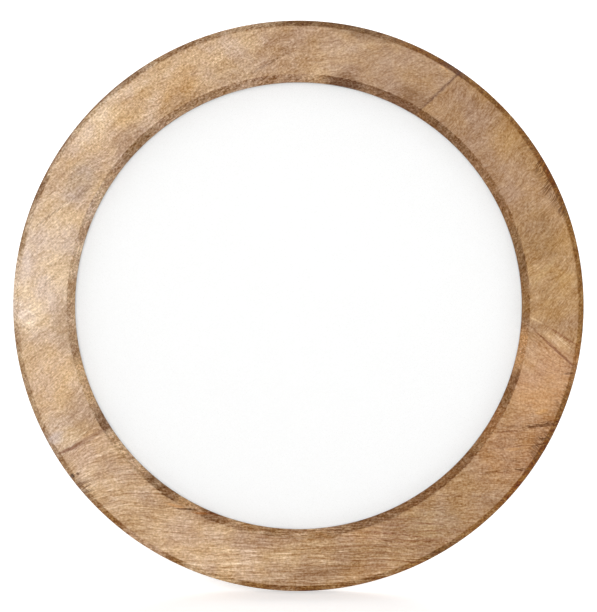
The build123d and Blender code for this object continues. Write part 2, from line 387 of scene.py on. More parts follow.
ring_edges, given, made = new_group("ring_edges", ("Point", "Fray"), ("Outer", "Rim", "Inner", "Joint"))
x, up, depth = split(ring_edges, given["Point"])
span = from_axis(ring_edges, x, up)
fray = calc(ring_edges, "SUBTRACT", given["Fray"], 0.5)
frayed = calc(ring_edges, "MULTIPLY_ADD", fray, fray_reach, span)
off_back = rise(ring_edges, depth, 0.4, 2.2)
off_side = rise(ring_edges, depth, 13.0, 17.5)
outer = rise(ring_edges, frayed, *outer_outline)
plug(ring_edges, calc(ring_edges, "MULTIPLY", outer, off_side), made["Outer"])
rim = rise(ring_edges, frayed, *rim_outline)
plug(ring_edges, calc(ring_edges, "MULTIPLY", rim, off_side), made["Rim"])
inner = rise(ring_edges, frayed, *inner_outline)
plug(ring_edges, calc(ring_edges, "MULTIPLY", inner, off_back), made["Inner"])
across_joint = towards(ring_edges, x, up, joint_slope + math.pi / 2)
beyond_joint = calc(ring_edges, "SUBTRACT", across_joint, joint_offset / millimetre)
from_joint = calc(ring_edges, "ABSOLUTE", beyond_joint)
near_joint = rise(ring_edges, from_joint, 0.1, 1.2, 1.0, 0.0)
broken = calc(ring_edges, "MULTIPLY", near_joint, rise(ring_edges, given["Fray"], 0.8, 0.4))
at_right = rise(ring_edges, x, -40.0, 20.0, 0.15, 1.0)
on_face = rise(ring_edges, span, 99.0, 108.0)
plain = calc(ring_edges, "MULTIPLY", at_right, on_face)
plug(ring_edges, calc(ring_edges, "MULTIPLY", broken, plain), made["Joint"])


def turned_edge(tree, point, colour, mask, radius, wood, patches):
    """The darker wood of a chamfer, with patches along it, some of them painted light: angle, half
    length, tint and strength.
    """
    marks = [
        (angle, radius, angle + 90, length, patch_width, tint, strength)
        for angle, length, tint, strength in patches
    ]
    flecks = rise(tree, noise(tree, point, 0.7, 3, 0.65), 0.3, 0.7)
    worn = blend(tree, flecks, dark_fleck, pale_fleck)
    edge = blend(tree, 1.0, lay_marks(tree, point, wood, marks), worn, "MULTIPLY")
    return blend(tree, mask, colour, edge)


# Oiled face: the light and dark of the grain over a board's own colour, under a dull oil finish
# that was rubbed in and leaves the pores open.
grey_cast = (0.975, 0.99, 1.08, 1)
warm_cast = (1.025, 1.0, 0.9, 1)
grain_gain = 0.4
edge_gain = 0.15
swing_limit = 0.25
swing_balance = (0.9, 1.0, 1.03)
eye_power = 2.2
pore_depth = 0.00004


def seen(red, green, blue):
    """A colour as the eye sees it, 0 to 255, in the linear values that a shader takes."""
    shares = [level / 255 for level in (red, green, blue)]
    return (*[c / 12.92 if c < 0.04045 else ((c + 0.055) / 1.055) ** 2.4 for c in shares], 1.0)


growth_brown = seen(140, 92, 66)
pore_brown = seen(112, 78, 50)


def eye_scale(tree, colour, power):
    """A colour moved to the even scale that the eye sees, or back from it."""
    node = tree.nodes.new("ShaderNodeGamma")
    plug(tree, colour, node.inputs["Color"])
    node.inputs["Gamma"].default_value = power
    return node.outputs[0]


def grain_over(tree, point, colour, figure, edges, shares):
    """Warmer and greyer clouds over a colour, and each part of the figure by its share."""
    warmth = rise(tree, noise(tree, point, 0.09, 3, 0.55), 0.3, 0.7)
    colour = blend(tree, 1.0, colour, blend(tree, warmth, grey_cast, warm_cast), "MULTIPLY")
    tone = 0.0
    for label in ("Streaks", "Mottle", "Strokes", "Speckle"):
        swing = calc(tree, "SUBTRACT", figure[label], 0.5)
        tone = calc(tree, "MULTIPLY_ADD", swing, shares[label], tone)
    on_edge = calc(tree, "MAXIMUM", edges["Outer"], edges["Inner"])
    tone = calc(tree, "MULTIPLY", tone, calc(tree, "MULTIPLY_ADD", on_edge, edge_gain, grain_gain))
    tone = calc(tree, "MINIMUM", calc(tree, "MAXIMUM", tone, -swing_limit), swing_limit)
    lift = tree.nodes.new("ShaderNodeVectorMath")
    lift.operation = "MULTIPLY_ADD"
    plug(tree, tone, lift.inputs[0])
    lift.inputs[1].default_value = swing_balance
    plug(tree, eye_scale(tree, colour, 1 / eye_power), lift.inputs[2])
    colour = eye_scale(tree, lift.outputs[0], eye_power)
    growth = calc(tree, "MULTIPLY", figure["Growth"], shares["Growth"])
    pores = calc(tree, "MULTIPLY", figure["Pores"], shares["Pores"])
    return blend(tree, pores, blend(tree, growth, colour, growth_brown), pore_brown)


def bump(tree, shader, height, depth):
    """Relief of a depth in metres on a shader's normal."""
    node = tree.nodes.new("ShaderNodeBump")
    node.inputs["Strength"].default_value = 1.0
    node.inputs["Distance"].default_value = depth
    tree.links.new(height, node.inputs["Height"])
    tree.links.new(node.outputs[0], shader.inputs["Normal"])


def surface(tree, shader, figure):
    """A dull face whose gloss follows the mottle, with raised streaks and strokes and open pores."""
    plug(tree, rise(tree, figure["Mottle"], 0.3, 0.7, 0.68, 0.52), shader.inputs["Roughness"])
    shader.inputs["Specular IOR Level"].default_value = 0.25
    streaks = calc(tree, "MULTIPLY", figure["Streaks"], 0.4)
    raised = calc(tree, "MULTIPLY_ADD", figure["Strokes"], 0.6, streaks)
    bump(tree, shader, calc(tree, "MULTIPLY_ADD", figure["Pores"], -1.0, raised), pore_depth)


# Upper board: the paler of the two, with a fine mottled figure that bows up to the right.
# It is cut from the outside of the log, so it goes from cream at the left to tan at the top,
# and it is glued to the lower board along the joint.
figure_bow = 0.0021
figure_slope = 0.46
figure_run = 0.9
figure_climb = 0.42
rim_strength = 0.75
joint_strength = 0.75
pale_wood = seen(205, 172, 138)
pale_outer_edge = seen(180, 147, 114)
pale_inner_edge = seen(176, 142, 110)
rim_brown = seen(138, 98, 64)
umber = seen(112, 76, 46)
cream = seen(248, 226, 204)
glue_brown = seen(104, 70, 56)
end_band = [
    (211.8, 126, 212.5, 109, 1.1, seen(136, 94, 70), 0.8),
    (212.2, 119, 212.6, 100, 1.9, seen(146, 106, 80), 0.75),
]


def new_finish(name):
    """A material with its shader, and its coordinates in millimetres on the ring's back plane."""
    material = bpy.data.materials.new(name)
    material.use_nodes = True
    tree = material.node_tree
    shader = tree.nodes["Principled BSDF"]
    source = tree.nodes.new("ShaderNodeTexCoord")
    place = tree.nodes.new("ShaderNodeMapping")
    place.vector_type = "TEXTURE"
    place.inputs["Location"].default_value = ring_centre
    place.inputs["Rotation"].default_value = (ring_turn, 0, 0)
    place.inputs["Scale"].default_value = (millimetre, millimetre, millimetre)
    tree.links.new(source.outputs["Object"], place.inputs["Vector"])
    return material, tree, shader, place.outputs[0]


upper_board = saw_board("ring_upper_board", 1)
upper_wood, tree, shader, point = new_finish("pale_ring_wood")
loose = swayed(tree, point, 12, 7)
steady = swayed(tree, point, 20, 2.5)
x, up, depth = split(tree, swayed(tree, point, 24, 11))
on_front = rise(tree, depth, 8.0, 15.0)
bow = calc(tree, "MULTIPLY", calc(tree, "MULTIPLY", x, x), figure_bow)
along = calc(tree, "MULTIPLY_ADD", up, figure_climb, calc(tree, "MULTIPLY", x, figure_run))
across = calc(tree, "ADD", calc(tree, "MULTIPLY_ADD", x, -figure_slope, up), bow)
figure = use(tree, board_figure, along=along, across=across, depth=depth, point=point)
edges = use(tree, ring_edges, point=point, fray=figure["Strokes"])
broken = rise(tree, figure["Strokes"], 0.66, 0.42)
colour = lay_marks(tree, loose, pale_wood, [
    (62, 113, 152, 46, 34, seen(178, 144, 112), 1.0),
    (60, 103, 150, 18, 9, seen(150, 117, 91), 0.85),
    (77, 103, 167, 14, 9, seen(164, 130, 102), 0.8),
    (79, 119, 169, 26, 10, seen(184, 151, 120), 0.8),
    (92, 112, 2, 26, 24, seen(181, 147, 116), 0.95),
    (106, 106, 16, 16, 10, seen(192, 160, 128), 0.7),
    (104, 118, 14, 16, 8, seen(209, 179, 149), 0.7),
    (119, 108, 60, 16, 10, seen(193, 150, 98), 0.8),
    (121, 102, 31, 16, 7, seen(178, 142, 106), 0.8),
    (131, 114, 41, 20, 7, seen(207, 170, 127), 0.6),
    (138, 119, 48, 20, 8, seen(232, 204, 174), 0.8),
    (135, 103, 45, 16, 8, seen(181, 150, 125), 0.85),
    (151, 109, 60, 16, 9, seen(190, 165, 145), 0.85),
    (172, 112, 82, 44, 32, seen(224, 197, 170), 0.9),
    (166, 102, 76, 14, 6, seen(206, 178, 152), 0.7),
    (181, 119, 91, 15, 8, seen(238, 213, 188), 0.75),
    (188, 102, 98, 28, 8, seen(192, 161, 128), 0.85),
    (197, 111, 107, 20, 18, seen(217, 183, 147), 0.9),
    (209, 117, 119, 14, 12, seen(214, 185, 156), 0.8),
    (206, 106, 116, 16, 11, seen(188, 155, 124), 0.8),
    (127, 119.3, 37, 16, 3.5, seen(226, 196, 164), 0.55),
    (172, 120.3, 82, 14, 3.5, seen(240, 216, 192), 0.6),
    (75, 123.3, 165, 34, 4, seen(150, 120, 93), 0.8),
    (187, 123.3, 97, 12, 4, seen(196, 164, 132), 0.7),
])
# The pale patches from 139 to 177 degrees are painted light. They make the upper-left of the outer
# chamfer lighter, as light falling more on that side would. The other patches are the chamfer's wood
# tones and scorch.
colour = turned_edge(tree, loose, colour, edges["Outer"], outer_band, pale_outer_edge, [
    (62, 32, seen(124, 78, 20), 1.0),
    (56.5, 8, seen(92, 50, 12), 0.9),
    (83, 40, seen(121, 85, 46), 1.0),
    (110, 16, seen(166, 130, 95), 0.8),
    (117, 9, seen(160, 120, 82), 0.7),
    (139, 28, seen(217, 186, 154), 1.0),
    (154.5, 6, seen(154, 118, 86), 0.8),
    (150, 8, seen(218, 184, 150), 0.9),
    (162, 12, seen(208, 178, 148), 0.9),
    (177, 22, seen(237, 210, 181), 1.0),
    (197, 12, seen(172, 138, 102), 0.7),
    (209, 8, seen(186, 156, 128), 0.7),
])
rim_side = zone(tree, loose, 143, 124, 53, 70, 60)
rim = calc(tree, "MULTIPLY", calc(tree, "MULTIPLY", edges["Rim"], rim_strength), rim_side)
colour = blend(tree, rim, colour, rim_brown)
colour = turned_edge(tree, loose, colour, edges["Inner"], inner_band, pale_inner_edge, [
    (63, 26, seen(126, 90, 61), 1.0),
    (78, 12, seen(104, 70, 45), 1.0),
    (95, 18, seen(163, 129, 102), 0.9),
    (115, 22, seen(152, 117, 84), 0.85),
    (135, 13, seen(148, 114, 80), 1.0),
    (153, 14, seen(199, 171, 147), 1.0),
    (168, 14, seen(207, 178, 150), 1.0),
    (183, 14, seen(194, 161, 128), 1.0),
    (200, 16, seen(206, 168, 126), 0.9),
    (211, 5, seen(138, 103, 74), 0.9),
])
colour = lay_marks(tree, loose, colour, [
    (78, 101.5, 167, 8, 4, seen(122, 88, 62), 0.45),
    (208.7, 120.5, 119, 4.5, 5, seen(220, 200, 184), 0.6),
], on_front)
colour = draw_lines(tree, steady, colour, [
    (91, 113, 104, 102, 0.9, umber, 0.5),
    (149, 104, 158, 114, 0.9, umber, 0.4),
    (156, 111, 164, 121, 0.9, umber, 0.5),
    (171, 105, 177, 115, 0.8, umber, 0.3),
    (179, 124, 183, 113, 0.8, cream, 0.7),
    (181.5, 124, 185, 114, 0.8, cream, 0.7),
    (183, 124, 186, 116, 0.6, umber, 0.4),
    (57.5, 121.6, 60.0, 122.2, 0.6, seen(228, 184, 138), 0.8),
], broken)
colour = draw_lines(tree, steady, colour, end_band, on_front)
left_speckle = rise(tree, x, -40.0, 40.0, 1.3, 0.7)
top_speckle = rise(tree, up, 30.0, 90.0, 0.0, 0.25)
colour = grain_over(tree, point, colour, figure, edges, {
    "Streaks": 0.3,
    "Mottle": rise(tree, x, -20.0, 40.0, 0.8, 0.5),
    "Strokes": rise(tree, x, -20.0, 50.0, 0.9, 0.75),
    "Speckle": calc(tree, "ADD", left_speckle, top_speckle),
    "Growth": 0.03,
    "Pores": 0.4,
})
colour = blend(tree, calc(tree, "MULTIPLY", edges["Joint"], joint_strength), colour, glue_brown)
plug(tree, colour, shader.inputs["Base Color"])
surface(tree, shader, figure)
upper_board.data.materials.append(upper_wood)
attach(upper_board, "frame")
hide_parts("ring_board_upper")

# Lower board: browner, from nearer the heart of the log, with thin level growth lines that bend up
# at its left end. At the right they meet short slanting figure along a feathered line, as where
# a branch grew. The tool that turned the ring scorched its outer edge in places.
bend_left = -74.0
bend_bow = 0.0125
bend_right = 90.0
bend_fall = 0.58
slant = math.radians(50)
feather_run = 0.616
feather_climb = 0.788
hair_size = (6, 0.5, 6)
slant_hair_size = (6, 0.4, 6)
arc_radius = 120.0
arc_shear = 0.25
brown_wood = seen(175, 138, 101)
brown_outer_edge = seen(142, 98, 46)
brown_inner_edge = seen(150, 111, 75)
scorched = seen(92, 54, 24)
rust = seen(190, 128, 74)
reddish = seen(140, 90, 66)
straw = seen(214, 182, 134)
pale_straw = seen(236, 206, 172)
hair_brown = seen(134, 90, 60)
lower_board = saw_board("ring_lower_board", -1)
lower_wood, tree, shader, point = new_finish("brown_ring_wood")
loose = swayed(tree, point, 12, 6)
steady = swayed(tree, point, 20, 2.5)
x, up, depth = split(tree, swayed(tree, point, 40, 7))
on_front = rise(tree, depth, 8.0, 15.0)
left = calc(tree, "MINIMUM", calc(tree, "SUBTRACT", x, bend_left), 0.0)
bow = calc(tree, "MULTIPLY", calc(tree, "MULTIPLY", left, left), bend_bow)
right = calc(tree, "MAXIMUM", calc(tree, "SUBTRACT", x, bend_right), 0.0)
fall = calc(tree, "MULTIPLY", calc(tree, "MULTIPLY", right, bend_fall), rise(tree, up, -50.0, -20.0))
level_across = calc(tree, "ADD", calc(tree, "ADD", up, bow), fall)
curled_x, curled_up, _ = split(tree, swayed(tree, point, 20, 12))
slant_along = towards(tree, curled_x, curled_up, slant)
slant_across = towards(tree, curled_x, curled_up, slant + math.pi / 2)
feather_way = calc(tree, "MULTIPLY_ADD", x, feather_run, calc(tree, "MULTIPLY", up, feather_climb))
feather = rise(tree, feather_way, 55.6, 57.0)


def switch(level_value, slant_value):
    """One value on the level side of the feathered line, another on the slanting side."""
    change = calc(tree, "SUBTRACT", slant_value, level_value)
    return calc(tree, "MULTIPLY_ADD", change, feather, level_value)


figure = use(
    tree,
    board_figure,
    along=switch(x, slant_along),
    across=switch(level_across, slant_across),
    depth=depth,
    point=point,
)
edges = use(tree, ring_edges, point=point, fray=figure["Strokes"])
broken = rise(tree, figure["Strokes"], 0.66, 0.42)
faint = calc(tree, "MULTIPLY", rise(tree, figure["Strokes"], 0.75, 0.35), on_front)
colour = lay_marks(tree, loose, brown_wood, [
    (8, 112, 98, 28, 20, seen(184, 145, 97), 0.75),
    (17, 109, 107, 18, 12, seen(155, 119, 80), 0.75),
    (40, 120, 130, 44, 9, seen(170, 131, 86), 0.75),
    (35, 103, 125, 45, 9, seen(170, 136, 107), 0.65),
    (48, 110, 138, 22, 18, seen(168, 134, 104), 0.75),
    (343, 112, 73, 24, 24, seen(196, 150, 110), 0.9),
    (347, 104, 77, 12, 6, seen(203, 163, 122), 0.6),
    (326, 112, 56, 26, 20, seen(182, 136, 97), 0.6),
    (331, 121, 61, 18, 8, seen(175, 128, 86), 0.6),
    (302, 112, 20, 18, 11, seen(178, 146, 110), 0.6),
    (285, 121, 15, 20, 6, seen(192, 152, 112), 0.7),
    (286, 104, 10, 14, 6, seen(197, 158, 122), 0.7),
    (251, 117, 0, 46, 21, seen(217, 183, 147), 0.95),
    (242, 112, 152, 18, 13, seen(216, 181, 146), 0.7),
    (269, 111, 0, 24, 6, seen(204, 170, 134), 0.8),
    (261, 103, 0, 24, 7, seen(176, 139, 106), 0.85),
    (221, 112, 131, 46, 32, seen(203, 169, 135), 1.0),
    (226, 104, 136, 18, 8, seen(194, 160, 127), 0.7),
    (214, 112, 124, 10, 12, seen(212, 178, 146), 0.7),
    (219, 119.3, 129, 12, 3, seen(222, 192, 162), 0.45),
])
colour = turned_edge(tree, loose, colour, edges["Outer"], outer_band, brown_outer_edge, [
    (2, 14, seen(154, 113, 64), 0.8),
    (28, 18, seen(144, 90, 30), 0.8),
    (50, 20, seen(132, 90, 38), 0.8),
    (56, 7, seen(92, 50, 12), 0.9),
    (325, 30, seen(126, 73, 4), 1.0),
    (347, 14, seen(168, 120, 72), 0.9),
    (284, 24, seen(152, 112, 70), 0.9),
    (252, 18, seen(206, 172, 134), 1.0),
    (237, 16, seen(190, 153, 121), 0.9),
    (267, 10, seen(150, 110, 72), 0.8),
    (301, 12, seen(120, 84, 42), 0.8),
    (219, 22, seen(181, 147, 113), 0.9),
])
colour = turned_edge(tree, loose, colour, edges["Inner"], inner_band, brown_inner_edge, [
    (2, 12, seen(160, 120, 77), 0.8),
    (14, 16, seen(134, 98, 61), 0.8),
    (50, 20, seen(127, 92, 60), 0.85),
    (349, 14, seen(201, 152, 104), 1.0),
    (339.5, 5, seen(140, 95, 58), 0.6),
    (328, 14, seen(164, 114, 70), 0.8),
    (308, 30, seen(143, 101, 63), 0.9),
    (272, 19, seen(196, 156, 116), 1.0),
    (256, 16, seen(188, 147, 107), 0.9),
    (221, 26, seen(206, 171, 136), 1.0),
    (242, 9, seen(196, 154, 112), 0.9),
    (231, 6, seen(136, 101, 68), 0.8),
    (211.5, 5, seen(138, 103, 74), 0.9),
])
colour = lay_marks(tree, loose, colour, [
    (216.8, 124.2, 127, 1.2, 1.2, seen(70, 45, 30), 0.9),
    (217, 121.6, 127, 1.1, 0.9, seen(82, 54, 36), 0.7),
    (336.5, 117, 10, 4, 1.6, seen(216, 164, 106), 0.5),
    (326, 113, 10, 4, 1.6, seen(206, 156, 104), 0.5),
], on_front)
colour = draw_lines(tree, steady, colour, [
    (331, 110, 335.5, 125, 1.3, scorched, 0.85),
    (321.5, 107, 325, 120, 0.9, umber, 0.3),
    (326.5, 105, 330.5, 118, 0.9, umber, 0.3),
    (317, 108, 325, 124, 0.9, umber, 0.3),
    (285, 102, 303, 123, 0.8, reddish, 0.5),
    (283, 103, 299, 122, 0.6, reddish, 0.45),
    (290, 102, 305, 121, 0.6, reddish, 0.35),
    (316, 104, 320.5, 119, 0.8, umber, 0.3),
    (328, 101, 332, 112, 0.8, umber, 0.4),
    (322.5, 118, 324.5, 125, 1.0, scorched, 0.7),
    (328.5, 119, 331, 125, 1.0, scorched, 0.8),
    (330.3, 120, 332.5, 125, 1.0, scorched, 0.8),
    (333.8, 117, 336, 125, 1.0, scorched, 0.85),
    (345.3, 119, 346.4, 125, 0.7, scorched, 0.7),
    (4, 102, 12, 117, 1.6, straw, 0.5),
    (1, 104, 8, 122, 0.9, straw, 0.4),
], broken)
colour = draw_lines(tree, steady, colour, end_band, on_front)
colour = draw_lines(tree, steady, colour, [
    (349.8, 123, 354.6, 105, 2.0, seen(222, 188, 150), 0.4),
    (346.8, 127, 354.6, 102, 0.8, seen(128, 80, 54), 0.8),
    (351.4, 126, 355.6, 107, 0.7, seen(136, 88, 60), 0.65),
    (350.4, 123, 353.2, 113, 0.4, pale_straw, 0.5),
    (351.4, 121, 354.2, 110, 0.4, pale_straw, 0.4),
    (355.6, 107, 357.4, 101, 0.6, seen(226, 192, 148), 0.5),
    (235.5, 104.5, 241.5, 101.2, 0.8, seen(208, 156, 106), 0.7),
    (238, 104.2, 244, 99.6, 0.6, scorched, 0.8),
    (242.4, 102.2, 247.5, 99.0, 0.7, rust, 0.8),
    (233, 102.6, 237.5, 100.6, 0.8, umber, 0.7),
    (245.5, 99.6, 250.5, 98, 0.8, seen(124, 66, 22), 0.7),
], on_front)
colour = draw_lines(tree, steady, colour, [
    (327, 102, 332.6, 117, 0.6, hair_brown, 0.7),
    (322, 102, 330.2, 122, 0.6, hair_brown, 0.7),
    (318.7, 110, 323.3, 122.5, 0.6, hair_brown, 0.6),
    (305.2, 101.5, 316.6, 123, 0.6, seen(140, 100, 70), 0.6),
    (295.3, 104.5, 305, 117, 0.6, seen(134, 90, 62), 0.6),
    (293.4, 112.5, 303.7, 123.5, 0.9, seen(146, 98, 68), 0.6),
    (288, 107, 299.5, 118, 0.6, seen(134, 90, 62), 0.5),
], faint)
calm = zone(tree, loose, 342, 112, 72, 18, 26)
streaked = zone(tree, loose, 271, 113, 0, 84, 40)
slanted = zone(tree, loose, 226, 112, 136, 36, 28)
rippled = zone(tree, loose, 294, 113, 5, 50, 20)
lively = calc(tree, "MULTIPLY_ADD", calm, -0.7, 1.0)
streak_share = calc(tree, "MULTIPLY_ADD", streaked, 1.3, calc(tree, "MULTIPLY_ADD", slanted, 0.8, 0.3))
colour = grain_over(tree, point, colour, figure, edges, {
    "Streaks": calc(tree, "MULTIPLY", streak_share, lively),
    "Mottle": 0.8,
    "Strokes": calc(tree, "MULTIPLY", calc(tree, "MULTIPLY_ADD", feather, -0.2, 1.0), lively),
    "Speckle": calc(tree, "MULTIPLY_ADD", feather, -0.2, 1.1),
    "Growth": calc(tree, "MULTIPLY_ADD", rippled, 0.3, 0.06),
    "Pores": 0.45,
})
x, up, depth = split(tree, point)
span = from_axis(tree, x, up)
arc = calc(tree, "MULTIPLY", calc(tree, "ARCTAN2", up, x), arc_radius)
sheared_arc = calc(tree, "MULTIPLY_ADD", span, arc_shear, arc)
hair_noise = drawn_out(tree, (span, sheared_arc, depth), hair_size, 2, 0.6)
hairs = calc(tree, "MULTIPLY", rise(tree, hair_noise, 0.44, 0.6), on_front)
slant_noise = drawn_out(tree, (slant_along, slant_across, depth), slant_hair_size, 2, 0.6)
slant_hairs = calc(tree, "MULTIPLY", rise(tree, slant_noise, 0.44, 0.6), on_front)
colour = lay_marks(tree, loose, colour, [
    (20, 124.5, 110, 8, 5.5, scorched, 0.85),
    (25, 124, 115, 10, 7, scorched, 0.9),
    (30, 124, 120, 10, 7, scorched, 0.9),
    (34, 124.5, 124, 6, 5.5, scorched, 0.75),
], slant_hairs)
colour = lay_marks(tree, loose, colour, [
    (221, 124, 131, 8, 7, scorched, 0.8),
    (341, 125, 71, 18, 5, scorched, 0.5),
    (330, 124, 60, 14, 7, scorched, 0.65),
], hairs)
colour = blend(tree, calc(tree, "MULTIPLY", edges["Joint"], joint_strength), colour, glue_brown)
plug(tree, colour, shader.inputs["Base Color"])
surface(tree, shader, figure)
lower_board.data.materials.append(lower_wood)
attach(lower_board, "frame")
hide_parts("ring_board_lower")
ring.free()

# Glass pane: clear float glass with seamed edges, laid in the rebate against its shoulder.
# Shadow rays pass it, so that the card behind stays lit.
rebate_clearance = 0.0005
stack_radius = rebate_radius - rebate_clearance
glass_thickness = 0.0020
glass_seam = 0.0003
glass_back = rebate_depth - glass_thickness
glass_index = 1.5
glass_tint = (0.996, 0.998, 0.997, 1)
smudge = 0.012
air_film = 0.00005
seam_steps = 2


def thicken(form, faces, height):
    """Raise faces by a height, with walls round them."""
    walls = bmesh.ops.extrude_face_region(form, geom=faces)["geom"]
    raised = [part for part in walls if isinstance(part, bmesh.types.BMVert)]
    bmesh.ops.translate(form, verts=raised, vec=(0, 0, height))
    bmesh.ops.recalc_face_normals(form, faces=form.faces)


def cut_disc(name, node, back, front, ease, material):
    """A flat round cut from sheet to fit the rebate, between two depths, with eased edges."""
    disc = bmesh.new()
    bmesh.ops.create_circle(disc, cap_ends=True, radius=stack_radius, segments=ring_steps)
    bmesh.ops.translate(disc, verts=disc.verts, vec=(0, 0, back))
    thicken(disc, disc.faces[:], front - back)
    rims = [edge for edge in disc.edges if edge.calc_face_angle(0) > sharp_bend]
    ease_edges(disc, rims, ease, seam_steps)
    bmesh.ops.transform(disc, matrix=ring_place, verts=disc.verts)
    piece = new_piece(name, disc)
    piece.data.materials.append(material)
    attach(piece, "frame")
    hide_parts(node)
    return piece


clear_glass, tree, shader, point = new_finish("clear_picture_glass")
shader.inputs["Transmission Weight"].default_value = 1.0
shader.inputs["IOR"].default_value = glass_index
shader.inputs["Base Color"].default_value = glass_tint
smears = noise(tree, point, 0.03, 5, 0.6)
plug(tree, rise(tree, smears, 0.5, 0.8, 0.0, smudge), shader.inputs["Roughness"])
path = tree.nodes.new("ShaderNodeLightPath")
clear = tree.nodes.new("ShaderNodeBsdfTransparent")
pick = tree.nodes.new("ShaderNodeMixShader")
tree.links.new(path.outputs["Is Shadow Ray"], pick.inputs[0])
tree.links.new(shader.outputs[0], pick.inputs[1])
tree.links.new(clear.outputs[0], pick.inputs[2])
tree.links.new(pick.outputs[0], tree.nodes["Material Output"].inputs["Surface"])
glass_pane = cut_disc(
    "picture_glass", "glass_pane", glass_back + air_film, rebate_depth, glass_seam, clear_glass
)

# Insert card: a blank disc of smooth white card in the picture's place, cut from one sheet.
# It lies loose behind the glass and is held there by the filler and the back.
insert_thickness = 0.0004
card_back = glass_back - insert_thickness
card_ease = 0.00004
card_relief = 0.00001
card_shade = (0.90, 0.90, 0.895, 1)
card_white = (0.94, 0.94, 0.94, 1)
white_card, tree, shader, point = new_finish("smooth_white_card")
fibres = noise(tree, point, 1.6, 5, 0.6)
card_tone = blend(tree, rise(tree, fibres, 0.3, 0.7), card_shade, card_white)
plug(tree, card_tone, shader.inputs["Base Color"])
plug(tree, rise(tree, fibres, 0.3, 0.7, 0.85, 0.75), shader.inputs["Roughness"])
shader.inputs["Specular IOR Level"].default_value = 0.05
bump(tree, shader, fibres, card_relief)
insert_card = cut_disc("picture_card", "insert_card", card_back, glass_back, card_ease, white_card)

# Filler card and back: grey packing board, then a thin brown fibreboard flush with the ring's back.
# Both are pressed from wood fibre, so their faces show short strands and darker flecks.
# The turn buttons hold them in.
strand_size = (2.6, 0.4, 0.4)
fibre_relief = 0.00008
gloss_swing = 0.08
fleck_strength = 0.35
filler_tones = (seen(136, 132, 126), seen(162, 158, 150), seen(112, 109, 105))
filler_roughness = 0.85
back_tones = (seen(118, 85, 56), seen(150, 112, 76), seen(92, 64, 42))
back_roughness = 0.6
pressed_fibre, given, made = new_group("pressed_fibre", ("Point",), ("Tone", "Flecks"))
tossed = split(pressed_fibre, swayed(pressed_fibre, given["Point"], 5, 26))
strands = drawn_out(pressed_fibre, tossed, strand_size, 3, 0.6)
grit = noise(pressed_fibre, given["Point"], 1.8, 4, 0.65)
clouds = noise(pressed_fibre, given["Point"], 0.05, 3, 0.55)
mixed = calc(pressed_fibre, "MULTIPLY_ADD", strands, 0.35, calc(pressed_fibre, "MULTIPLY", grit, 0.45))
plug(pressed_fibre, calc(pressed_fibre, "MULTIPLY_ADD", clouds, 0.2, mixed), made["Tone"])
plug(pressed_fibre, rise(pressed_fibre, strands, 0.64, 0.72), made["Flecks"])


def dress(material, *nodes):
    """Give carried-over pieces their finish in every slot."""
    for node in nodes:
        mesh = frame["nodes"][node].data
        if not mesh.materials:
            mesh.materials.append(material)
        for at in range(len(mesh.materials)):
            mesh.materials[at] = material


def finish_fibre(name, tones, roughness, node):
    """Pressed board in a dark and a light tone with flecks, for the piece that is cut from it."""
    dark, light, fleck = tones
    material, tree, shader, point = new_finish(name)
    fibre = use(tree, pressed_fibre, point=point)
    colour = blend(tree, rise(tree, fibre["Tone"], 0.36, 0.64), dark, light)
    colour = blend(tree, calc(tree, "MULTIPLY", fibre["Flecks"], fleck_strength), colour, fleck)
    plug(tree, colour, shader.inputs["Base Color"])
    rough = roughness + gloss_swing
    smooth = roughness - gloss_swing
    plug(tree, rise(tree, fibre["Tone"], 0.36, 0.64, rough, smooth), shader.inputs["Roughness"])
    shader.inputs["Specular IOR Level"].default_value = 0.3
    bump(tree, shader, fibre["Tone"], fibre_relief)
    dress(material, node)


finish_fibre("grey_packing_board", filler_tones, filler_roughness, "filler_card")
finish_fibre("brown_back_board", back_tones, back_roughness, "backing_board")

# Turn buttons and hanger: tabs and a sawtooth strip pressed from thin steel, plated yellow like
# brass, with fine rub marks from the press and duller patches where hands touched them.
# The tabs turn on screws, and two nails hold the hanger to the ring.
rub_size = (9, 0.16, 0.16)
rub_relief = 0.000006
brass_tones = (seen(222, 188, 118), seen(204, 170, 104))
brass_roughness = (0.26, 0.46)
brass_pieces = (
    "turn_button_upper_right",
    "turn_button_upper_left",
    "turn_button_lower_left",
    "turn_button_lower_right",
    "wall_hanger",
    "hanger_nails",
)
worn_plate, given, made = new_group("worn_plate", ("Point",), ("Rubs", "Stains"))
rubs = drawn_out(worn_plate, split(worn_plate, given["Point"]), rub_size, 3, 0.65)
plug(worn_plate, rise(worn_plate, rubs, 0.35, 0.65), made["Rubs"])
stains = noise(worn_plate, given["Point"], 0.16, 3, 0.5)
plug(worn_plate, rise(worn_plate, stains, 0.35, 0.7), made["Stains"])


def finish_metal(name, tones, roughness, *nodes):
    """Plated metal with rub marks and stains, for the pieces made of it."""
    bright, dull = tones
    smooth, rough = roughness
    material, tree, shader, point = new_finish(name)
    plate = use(tree, worn_plate, point=point)
    wear = calc(tree, "MULTIPLY_ADD", plate["Rubs"], 0.4, calc(tree, "MULTIPLY", plate["Stains"], 0.6))
    plug(tree, blend(tree, wear, bright, dull), shader.inputs["Base Color"])
    shader.inputs["Metallic"].default_value = 1.0
    plug(tree, rise(tree, wear, 0.0, 1.0, smooth, rough), shader.inputs["Roughness"])
    bump(tree, shader, plate["Rubs"], rub_relief)
    dress(material, *nodes)


finish_metal("brass_plated_steel", brass_tones, brass_roughness, *brass_pieces)

# Screws of the turn buttons: steel pan heads with a cross recess, zinc plated and a little cloudy.
# They are driven into the ring's back just so far that the tabs still turn.
zinc_tones = (seen(208, 210, 212), seen(190, 193, 196))
zinc_roughness = (0.3, 0.46)
finish_metal("cloudy_zinc", zinc_tones, zinc_roughness, "turn_button_screws")

